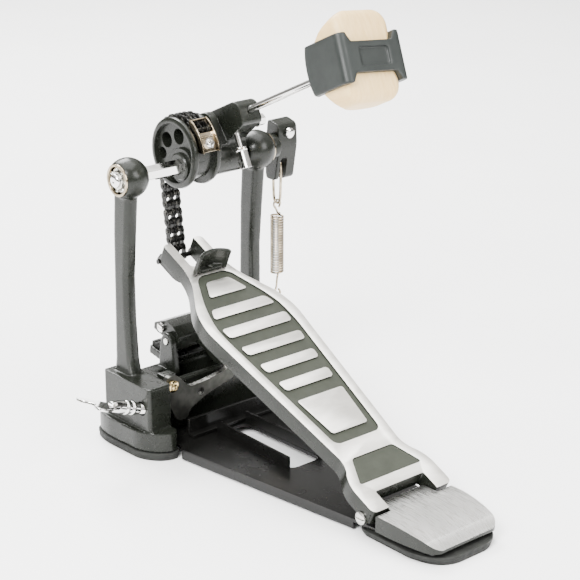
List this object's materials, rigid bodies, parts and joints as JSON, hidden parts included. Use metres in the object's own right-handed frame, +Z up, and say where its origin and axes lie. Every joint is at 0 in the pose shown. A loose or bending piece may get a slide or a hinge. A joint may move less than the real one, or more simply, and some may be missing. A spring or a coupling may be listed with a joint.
{
  "type": "bass drum pedal",
  "caption": "Chain driven bass drum pedal with a cast footboard, twin posts, a cam wheel, a wooden beater, a side return spring and a hoop clamp.",
  "frame": {"origin": "on the floor, on the centre line, on the flat underside of the heel pad below the front edge of the heel plate", "axes": "+X across to the player's right, +Y from the heel towards the drum, +Z up"},
  "size_m": [0.2001, 0.303, 0.3101],
  "materials": {
    "charcoal_paint": "semi-gloss charcoal paint on cast metal",
    "black_steel": "gloss black finish on sheet steel and chain",
    "polished_aluminium": "brushed and polished cast aluminium over charcoal paint",
    "chrome": "bright chrome plate",
    "nickel": "warm bright nickel plate",
    "steel": "bright zinc-plated steel",
    "brass": "yellow passivated screw head",
    "rubber": "matte black rubber",
    "maple": "smooth pale maple",
    "grey_plastic": "satin dark grey moulded plastic"
  },
  "bodies": {
    "frame": {"base_plate": "black_steel", "heel_pad": "rubber", "left_foot_pad": "rubber", "right_foot_pad": "rubber", "heel_plate": "polished_aluminium", "heel_hinge_pin": "steel", "left_upright": "charcoal_paint", "right_upright": "charcoal_paint", "left_bearing_outer": "steel", "right_bearing_outer": "steel", "spring_anchor_arm": "charcoal_paint", "spring_eye_bolt": "chrome", "eye_bolt_nut": "chrome", "clamp_bridge": "charcoal_paint", "cross_bar": "black_steel", "lower_jaw_pad": "rubber", "jaw_pivot_pin": "steel", "lever_pivot_screw": "brass"},
    "axle": {"hex_shaft": "chrome", "shaft_end_screw": "chrome", "left_bearing_inner": "steel", "right_bearing_inner": "steel", "cam_wheel": "charcoal_paint", "wrapped_chain": "black_steel", "chain_anchor": "chrome", "chain_anchor_screw": "chrome", "beater_hub": "charcoal_paint", "hub_key_bolt": "chrome", "rod_clamp_bolt": "chrome", "rocker_washer": "steel", "spring_rocker": "charcoal_paint", "rocker_screw": "chrome", "rocker_pin": "steel"},
    "beater": {"beater_rod": "chrome", "beater_head_wood": "maple", "beater_head_strap": "grey_plastic"},
    "left_cage": {"left_bearing_cage": "steel"},
    "right_cage": {"right_bearing_cage": "steel"},
    "chain_1": {"chain_link_1": "black_steel"},
    "chain_2": {"chain_link_2": "black_steel"},
    "chain_3": {"chain_link_3": "black_steel"},
    "chain_4": {"chain_link_4": "black_steel"},
    "chain_hanging": {"chain_drop": "black_steel"},
    "board": {"footboard": "polished_aluminium", "badge_plate": "charcoal_paint", "toe_stop": "charcoal_paint", "toe_stop_screw": "chrome", "chain_pin": "steel"},
    "spring_foot": {"spring_lower_hook": "nickel", "return_spring": "nickel"},
    "spring_head": {"spring_upper_hook": "nickel", "spring_link": "nickel"},
    "jaw": {"upper_jaw": "charcoal_paint", "upper_jaw_pad": "rubber", "jaw_screw": "chrome"},
    "lever": {"clamp_lever": "steel", "lever_spring": "steel"},
    "screw_tip": {"clamp_tip": "steel"},
    "wing_bolt": {"clamp_screw": "chrome"}
  },
  "joints": [
    {"name": "beater_swing", "type": "hinge", "parent": "frame", "child": "axle", "pos_m": [0, 0.222, 0.19], "axis": [-1, 0, 0], "range_deg": [0, 50]},
    {"name": "beater_height", "type": "slide", "parent": "axle", "child": "beater", "axis": [0, -0.9026, 0.4305], "range_m": [-0.02, 0.02]},
    {"name": "left_cage_roll", "type": "hinge", "parent": "frame", "child": "left_cage", "pos_m": [-0.061, 0.222, 0.19], "axis": [-1, 0, 0], "range_deg": [0, 20]},
    {"name": "right_cage_roll", "type": "hinge", "parent": "frame", "child": "right_cage", "pos_m": [0.061, 0.222, 0.19], "axis": [-1, 0, 0], "range_deg": [0, 20]},
    {"name": "chain_pin_1", "type": "hinge", "parent": "axle", "child": "chain_1", "pos_m": [0, 0.24374, 0.21652], "axis": [1, 0, 0], "range_deg": [0, 2.47]},
    {"name": "chain_pin_2", "type": "hinge", "parent": "chain_1", "child": "chain_2", "pos_m": [0, 0.24828, 0.21211], "axis": [1, 0, 0], "range_deg": [0, 15.49]},
    {"name": "chain_pin_3", "type": "hinge", "parent": "chain_2", "child": "chain_3", "pos_m": [0, 0.25149, 0.20666], "axis": [1, 0, 0], "range_deg": [0, 15.49]},
    {"name": "chain_pin_4", "type": "hinge", "parent": "chain_3", "child": "chain_4", "pos_m": [0, 0.25312, 0.20054], "axis": [1, 0, 0], "range_deg": [0, 15.49]},
    {"name": "chain_pin_5", "type": "hinge", "parent": "chain_4", "child": "chain_hanging", "pos_m": [0, 0.25305, 0.19421], "axis": [1, 0, 0], "range_deg": [0, 6.49]},
    {"name": "footboard_press", "type": "hinge", "parent": "frame", "child": "board", "pos_m": [0, 0.015, 0.014], "axis": [-1, 0, 0], "range_deg": [0, 7.38]},
    {"name": "spring_lean", "type": "hinge", "parent": "frame", "child": "spring_foot", "pos_m": [0.078, 0.226, 0.0751], "axis": [1, 0, 0], "range_deg": [0, 8.25]},
    {"name": "spring_stretch", "type": "slide", "parent": "spring_foot", "child": "spring_head", "axis": [0, 0, 1], "range_m": [0, 0.0033], "deforming": ["return_spring"]},
    {"name": "clamp_travel", "type": "slide", "parent": "frame", "child": "screw_tip", "axis": [0.9421, 0, -0.3355], "range_m": [-0.002, 0.004]},
    {"name": "wing_bolt_turn", "type": "hinge", "parent": "screw_tip", "child": "wing_bolt", "pos_m": [-0.0445, 0.199, 0.0276], "axis": [0.9421, 0, -0.3355], "range_deg": [-580, 1160]},
    {"name": "lever_swing", "type": "hinge", "parent": "frame", "child": "lever", "pos_m": [-0.0416, 0.199, 0.046], "axis": [0, -1, 0], "range_deg": [-6.1, 12.1]},
    {"name": "jaw_swing", "type": "hinge", "parent": "frame", "child": "jaw", "pos_m": [0, 0.228, 0.064], "axis": [-1, 0, 0], "range_deg": [-10.5, 21]}
  ],
  "couplings": [
    {"joint": "footboard_press", "follows": "beater_swing", "ratio": 0.1475},
    {"joint": "left_cage_roll", "follows": "beater_swing", "ratio": 0.4},
    {"joint": "right_cage_roll", "follows": "beater_swing", "ratio": 0.4},
    {"joint": "chain_pin_1", "follows": "beater_swing", "ratio": 0.0493},
    {"joint": "chain_pin_2", "follows": "beater_swing", "ratio": 0.3096},
    {"joint": "chain_pin_3", "follows": "beater_swing", "ratio": 0.3096},
    {"joint": "chain_pin_4", "follows": "beater_swing", "ratio": 0.3096},
    {"joint": "chain_pin_5", "follows": "beater_swing", "ratio": 0.1295},
    {"joint": "spring_lean", "follows": "beater_swing", "ratio": 0.164},
    {"joint": "spring_stretch", "follows": "beater_swing", "m_per_rad": 0.00367},
    {"joint": "wing_bolt_turn", "follows": "clamp_travel", "rad_per_m": 5026.5},
    {"joint": "lever_swing", "follows": "clamp_travel", "rad_per_m": 52.6},
    {"joint": "jaw_swing", "follows": "clamp_travel", "rad_per_m": 91}
  ]
}
